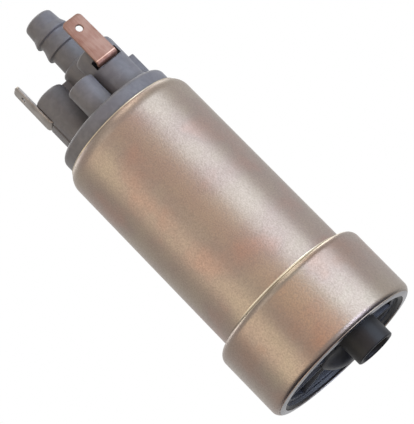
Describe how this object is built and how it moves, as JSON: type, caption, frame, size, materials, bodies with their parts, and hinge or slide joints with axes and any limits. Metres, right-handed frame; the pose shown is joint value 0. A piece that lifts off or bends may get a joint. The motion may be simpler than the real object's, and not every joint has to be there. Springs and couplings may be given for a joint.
{
  "type": "fuel pump",
  "caption": "In-tank electric fuel pump in a stepped steel case, with a side-channel impeller, hose barb outlet, hollow inlet nipple and two blade terminals.",
  "frame": {"origin": "on the shaft's axis, level with the lowest point of the inlet nipple", "axes": "+Z along the shaft from the inlet end to the outlet barb; -Y towards the small front boss; +X towards the wide terminal's side"},
  "size_m": [0.0448, 0.0448, 0.1217],
  "materials": {
    "case_steel": "satin champagne-coloured plating, fine blasted grain",
    "cap_plastic": "moulded, mid grey",
    "inlet_plastic": "moulded, near black",
    "terminal_copper": "stamped copper alloy, satin",
    "terminal_bronze": "stamped tinned bronze, satin",
    "shaft_steel": "ground",
    "core_steel": "stacked laminations",
    "spring_steel": "drawn",
    "bearing_bronze": "sintered, oiled",
    "winding_copper": "enamelled copper wire",
    "carbon": "pressed carbon",
    "ferrite": "sintered",
    "magnet": "ground ferrite",
    "insulator": "moulded",
    "hub_resin": "moulded phenolic",
    "impeller_resin": "moulded",
    "plate_resin": "moulded",
    "pad": "moulded",
    "seal_rubber": "moulded",
    "poppet_rubber": "moulded"
  },
  "bodies": {
    "housing": {"case": "case_steel", "inlet_cover": "inlet_plastic", "thrust_pad": "pad", "outlet_plate": "plate_resin", "pump_seal": "seal_rubber", "lower_bearing": "bearing_bronze", "upper_bearing": "bearing_bronze", "magnet_left": "magnet", "magnet_right": "magnet", "magnet_clip_front": "spring_steel", "magnet_clip_back": "spring_steel", "outlet_cap": "cap_plastic", "cap_seal": "seal_rubber", "brush_spring_left": "spring_steel", "brush_spring_right": "spring_steel", "brush_lead_left": "winding_copper", "brush_lead_right": "winding_copper", "terminal_narrow": "terminal_bronze", "terminal_wide": "terminal_copper", "choke_core_left": "ferrite", "choke_core_right": "ferrite", "choke_coil_left": "winding_copper", "choke_coil_right": "winding_copper", "check_seat": "bearing_bronze", "check_spring": "spring_steel", "relief_seat": "bearing_bronze", "relief_spring": "spring_steel"},
    "rotor": {"shaft": "shaft_steel", "impeller": "impeller_resin", "armature_core": "core_steel", "armature_insulators": "insulator", "armature_windings": "winding_copper", "commutator_hub": "hub_resin", "commutator_segments": "carbon"},
    "left_brush": {"brush_left": "carbon"},
    "right_brush": {"brush_right": "carbon"},
    "check_valve": {"check_poppet": "poppet_rubber"},
    "relief_valve": {"relief_ball": "shaft_steel"}
  },
  "joints": [
    {"name": "rotor_spin", "type": "hinge", "parent": "housing", "child": "rotor", "pos_m": [0, 0, 0.048], "axis": [0, 0, 1], "continuous": true},
    {"name": "left_brush_slide", "type": "slide", "parent": "housing", "child": "left_brush", "axis": [0, 0, 1], "range_m": [0, 0.002], "stiffness_N_per_m": 150, "springref_m": -0.01, "deforming": ["brush_spring_left", "brush_lead_left"]},
    {"name": "right_brush_slide", "type": "slide", "parent": "housing", "child": "right_brush", "axis": [0, 0, 1], "range_m": [0, 0.002], "stiffness_N_per_m": 150, "springref_m": -0.01, "deforming": ["brush_spring_right", "brush_lead_right"]},
    {"name": "check_valve_lift", "type": "slide", "parent": "housing", "child": "check_valve", "axis": [0, 0, 1], "range_m": [0, 0.002], "stiffness_N_per_m": 60, "springref_m": -0.005, "deforming": ["check_spring"]},
    {"name": "relief_valve_lift", "type": "slide", "parent": "housing", "child": "relief_valve", "axis": [0, 0, 1], "range_m": [0, 0.0015], "stiffness_N_per_m": 600, "springref_m": -0.0045, "deforming": ["relief_spring"]}
  ]
}
